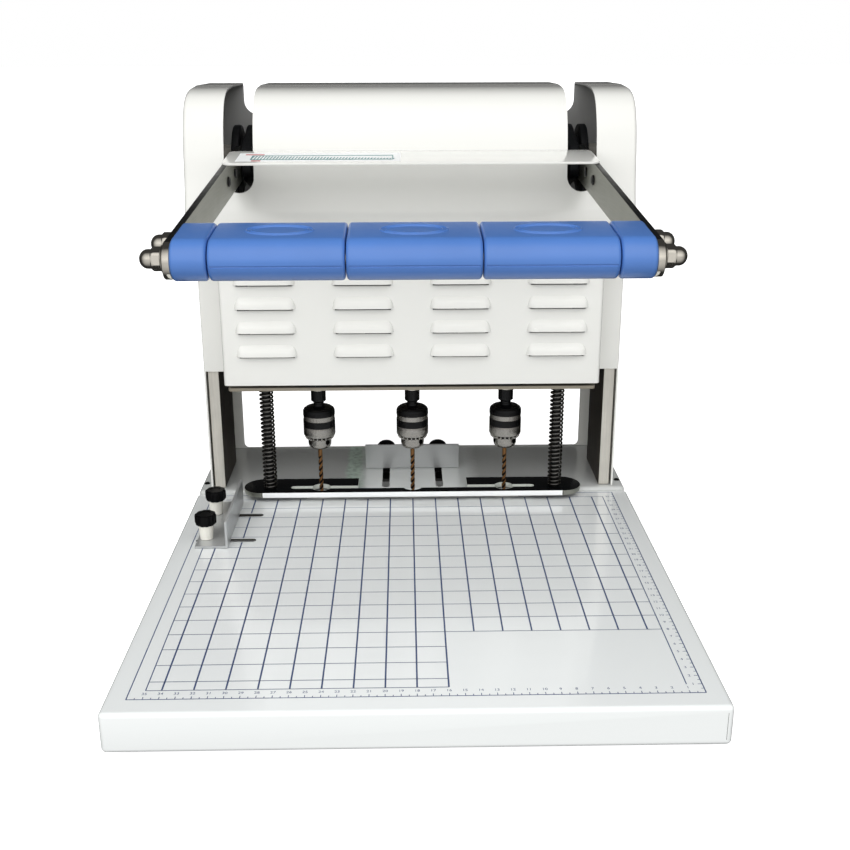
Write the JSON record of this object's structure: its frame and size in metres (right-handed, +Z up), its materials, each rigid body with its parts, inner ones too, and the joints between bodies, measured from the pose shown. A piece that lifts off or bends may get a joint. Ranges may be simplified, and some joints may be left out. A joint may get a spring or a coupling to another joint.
{
  "type": "drill binding machine",
  "caption": "Bench paper drill: gridded table, drilling head on guide rails between columns, swing handle, sprung clamp plate, side guide and back stop.",
  "frame": {"origin": "on the floor under the middle of the machine's footprint", "axes": "+X to the user's right, +Y to the back of the machine, +Z up"},
  "size_m": [0.388, 0.471, 0.385],
  "materials": {
    "white_paint": "gloss",
    "table_paint": "gloss",
    "base_paint": "gloss",
    "bright_steel": "brushed",
    "dark_steel": "blackened",
    "nickel": "polished",
    "blue_plastic": "satin",
    "black_plastic": "satin",
    "aluminium": "satin",
    "gold_steel": "coated",
    "rubber": "matt",
    "nylon": "matt",
    "cast_iron": "painted"
  },
  "bodies": {
    "frame": {"table_tray": "table_paint", "cutting_strip": "nylon", "base_plate": "base_paint", "foot_front_left": "rubber", "foot_front_right": "rubber", "foot_rear_left": "rubber", "foot_rear_right": "rubber", "column_left": "bright_steel", "column_right": "bright_steel", "guide_rail_left": "bright_steel", "guide_rail_right": "bright_steel", "hood": "white_paint", "side_cover_left": "white_paint", "side_cover_right": "white_paint", "louvre_cover": "white_paint", "rear_panel": "white_paint", "power_inlet": "black_plastic"},
    "handle": {"arm_left": "nickel", "arm_right": "nickel", "brace_plate": "white_paint", "grip_end_left": "blue_plastic", "grip_left": "blue_plastic", "grip_middle": "blue_plastic", "grip_right": "blue_plastic", "grip_end_right": "blue_plastic", "grip_rod_front": "nickel", "grip_rod_rear": "nickel", "crank_left": "cast_iron", "crank_right": "cast_iron", "pivot_shaft": "bright_steel"},
    "head": {"head_plate": "bright_steel", "head_bracket_left": "cast_iron", "head_bracket_right": "cast_iron", "spindle_housing": "cast_iron", "motor": "cast_iron", "motor_belt": "rubber", "left_belt": "rubber", "right_belt": "rubber", "clamp_spring_left": "dark_steel", "clamp_spring_right": "dark_steel"},
    "rotor": {"motor_pulley": "bright_steel"},
    "left_drill": {"spindle_left": "dark_steel", "chuck_left": "nickel", "drill_bit_left": "gold_steel"},
    "middle_drill": {"spindle_middle": "dark_steel", "chuck_middle": "nickel", "drill_bit_middle": "gold_steel"},
    "right_drill": {"spindle_right": "dark_steel", "chuck_right": "nickel", "drill_bit_right": "gold_steel"},
    "clamp": {"clamp_plate": "dark_steel", "clamp_rod_left": "bright_steel", "clamp_rod_right": "bright_steel"},
    "guide": {"side_guide": "aluminium"},
    "front_guide_knob": {"guide_knob_front": "black_plastic"},
    "rear_guide_knob": {"guide_knob_rear": "black_plastic"},
    "stop": {"back_stop": "aluminium"},
    "left_stop_knob": {"stop_knob_left": "black_plastic"},
    "right_stop_knob": {"stop_knob_right": "black_plastic"},
    "switch": {"switch_rocker": "black_plastic"}
  },
  "joints": [
    {"name": "handle_pivot", "type": "hinge", "parent": "frame", "child": "handle", "pos_m": [0, 0.1545, 0.327], "axis": [-1, 0, 0], "range_deg": [-2, 75]},
    {"name": "head_slide", "type": "slide", "parent": "frame", "child": "head", "axis": [0, 0, 1], "range_m": [-0.0013, 0.0472]},
    {"name": "motor_spin", "type": "hinge", "parent": "head", "child": "rotor", "pos_m": [0, 0.1805, 0.198], "axis": [0, 0, 1], "continuous": true},
    {"name": "spindle_left_spin", "type": "hinge", "parent": "head", "child": "left_drill", "pos_m": [-0.0817, 0.1075, 0.16], "axis": [0, 0, 1], "continuous": true},
    {"name": "spindle_middle_spin", "type": "hinge", "parent": "head", "child": "middle_drill", "pos_m": [0, 0.1075, 0.16], "axis": [0, 0, 1], "continuous": true},
    {"name": "spindle_right_spin", "type": "hinge", "parent": "head", "child": "right_drill", "pos_m": [0.0817, 0.1075, 0.16], "axis": [0, 0, 1], "continuous": true},
    {"name": "clamp_slide", "type": "slide", "parent": "head", "child": "clamp", "axis": [0, 0, 1], "range_m": [0, 0.034], "stiffness_N_per_m": 400, "springref_m": -0.02, "deforming": ["clamp_spring_left", "clamp_spring_right"]},
    {"name": "side_guide_slide", "type": "slide", "parent": "frame", "child": "guide", "axis": [1, 0, 0], "range_m": [-0.006, 0.037]},
    {"name": "guide_knob_front_turn", "type": "hinge", "parent": "guide", "child": "front_guide_knob", "pos_m": [-0.169, 0.0145, 0.05], "axis": [0, 0, 1], "continuous": true},
    {"name": "guide_knob_rear_turn", "type": "hinge", "parent": "guide", "child": "rear_guide_knob", "pos_m": [-0.169, 0.066, 0.05], "axis": [0, 0, 1], "continuous": true},
    {"name": "back_stop_slide", "type": "slide", "parent": "frame", "child": "stop", "axis": [0, 1, 0], "range_m": [-0.055, 0.016]},
    {"name": "stop_knob_left_turn", "type": "hinge", "parent": "stop", "child": "left_stop_knob", "pos_m": [-0.0245, 0.1805, 0.05], "axis": [0, 0, 1], "continuous": true},
    {"name": "stop_knob_right_turn", "type": "hinge", "parent": "stop", "child": "right_stop_knob", "pos_m": [0.0245, 0.1805, 0.05], "axis": [0, 0, 1], "continuous": true},
    {"name": "switch_rock", "type": "hinge", "parent": "frame", "child": "switch", "pos_m": [0.09, 0.2305, 0.23], "axis": [1, 0, 0], "range_deg": [0, 14]}
  ],
  "couplings": [
    {"joint": "head_slide", "follows": "handle_pivot", "m_per_rad": 0.03598},
    {"joint": "spindle_left_spin", "follows": "motor_spin", "ratio": 0.87097},
    {"joint": "spindle_middle_spin", "follows": "motor_spin", "ratio": 0.87097},
    {"joint": "spindle_right_spin", "follows": "motor_spin", "ratio": 0.87097}
  ]
}
